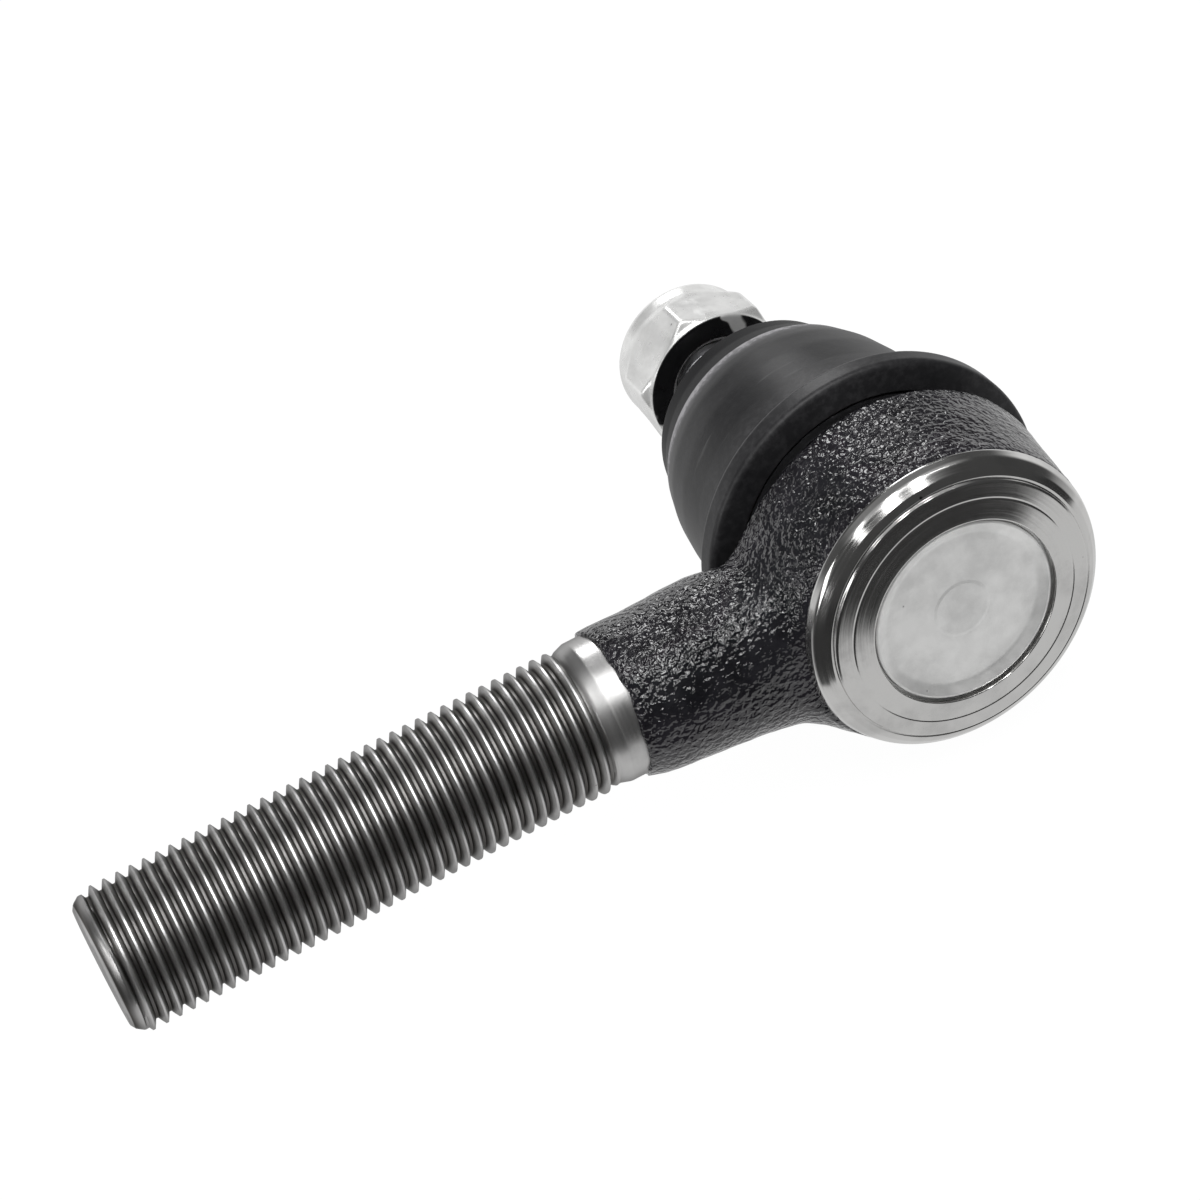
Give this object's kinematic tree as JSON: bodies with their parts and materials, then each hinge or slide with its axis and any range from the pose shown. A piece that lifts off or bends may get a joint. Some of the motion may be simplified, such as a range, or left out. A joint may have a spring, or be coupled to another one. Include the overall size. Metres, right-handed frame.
{
  "type": "tie rod end ball joint",
  "caption": "Steering ball joint: a forged housing with a threaded shank, a tapered ball stud with a lock nut, a rubber dust boot and a pressed-in end cap.",
  "frame": {"origin": "centre of the end face of the threaded shank", "axes": "+X along the shank towards the ball, +Y parallel to the stud from the ball to the lock nut, +Z completes the right-handed frame. The ball's centre is at x 95.0 mm, y 2 mm."},
  "size_m": [0.1151, 0.069, 0.0402],
  "materials": {
    "painted_steel": "gloss black paint over a forged skin, with bare turned steel at the lip and the threaded shank",
    "zinc_plate": "zinc plated, satin",
    "bright_steel": "ground and turned",
    "spring_steel": "phosphated, oiled",
    "acetal": "moulded, natural",
    "nylon": "moulded, blue",
    "boot_rubber": "satin, lightly dusty"
  },
  "bodies": {
    "base": {"housing": "painted_steel", "end_cap": "zinc_plate", "disc_spring": "spring_steel", "lower_seat": "acetal", "upper_seat": "acetal", "boot_base_ring": "spring_steel"},
    "boot": {"dust_boot": "boot_rubber"},
    "collar": {"boot_top_ring": "spring_steel"},
    "stud": {"ball_stud": "bright_steel", "lock_nut": "zinc_plate", "nut_insert": "nylon"}
  },
  "joints": [
    {"name": "tilt_in_shank_plane", "type": "hinge", "parent": "base", "child": "boot", "pos_m": [0.095, 0.002, 0], "axis": [0, 0, 1], "range_deg": [-18, 18], "deforming": ["dust_boot"]},
    {"name": "tilt_across_shank", "type": "hinge", "parent": "boot", "child": "collar", "pos_m": [0.095, 0.002, 0], "axis": [1, 0, 0], "range_deg": [-18, 18]},
    {"name": "stud_spin", "type": "hinge", "parent": "collar", "child": "stud", "pos_m": [0.095, 0.002, 0], "axis": [0, 1, 0], "continuous": true}
  ]
}
